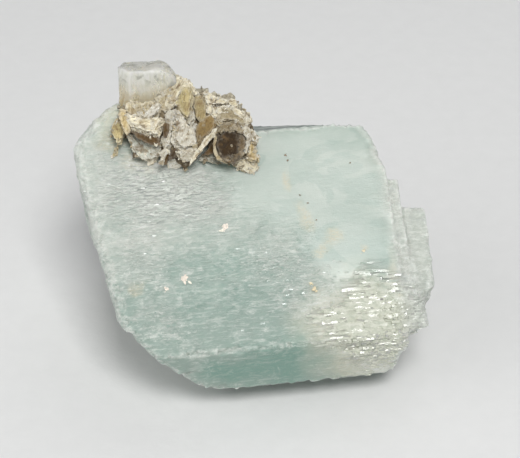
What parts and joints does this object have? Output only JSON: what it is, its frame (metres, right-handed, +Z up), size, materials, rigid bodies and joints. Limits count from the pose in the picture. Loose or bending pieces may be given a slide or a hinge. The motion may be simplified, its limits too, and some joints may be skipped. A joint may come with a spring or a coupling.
{
  "type": "aquamarine crystal",
  "caption": "Chunky hexagonal beryl prism lying on a flat prism face, with a cluster of mica books and a small clear crystal on its top edge.",
  "frame": {"origin": "centre of the footprint of the whole specimen's box, at the surface that it rests on", "axes": "+Z up from the resting face, +X along the longest extent, within 8 degrees of the c-axis, -Y towards the front prism face"},
  "size_m": [0.0488, 0.0332, 0.0353],
  "materials": {
    "milky_aquamarine": "milky pale blue-green crystal, vitreous and finely striated",
    "clear_crystal": "colourless to faintly warm, vitreous",
    "silvery_mica": "cream to tan flakes with a pearly sheen"
  },
  "bodies": {
    "root": {"aquamarine_crystal": "milky_aquamarine", "small_clear_crystal": "clear_crystal", "muscovite_mica": "silvery_mica"}
  },
  "joints": []
}
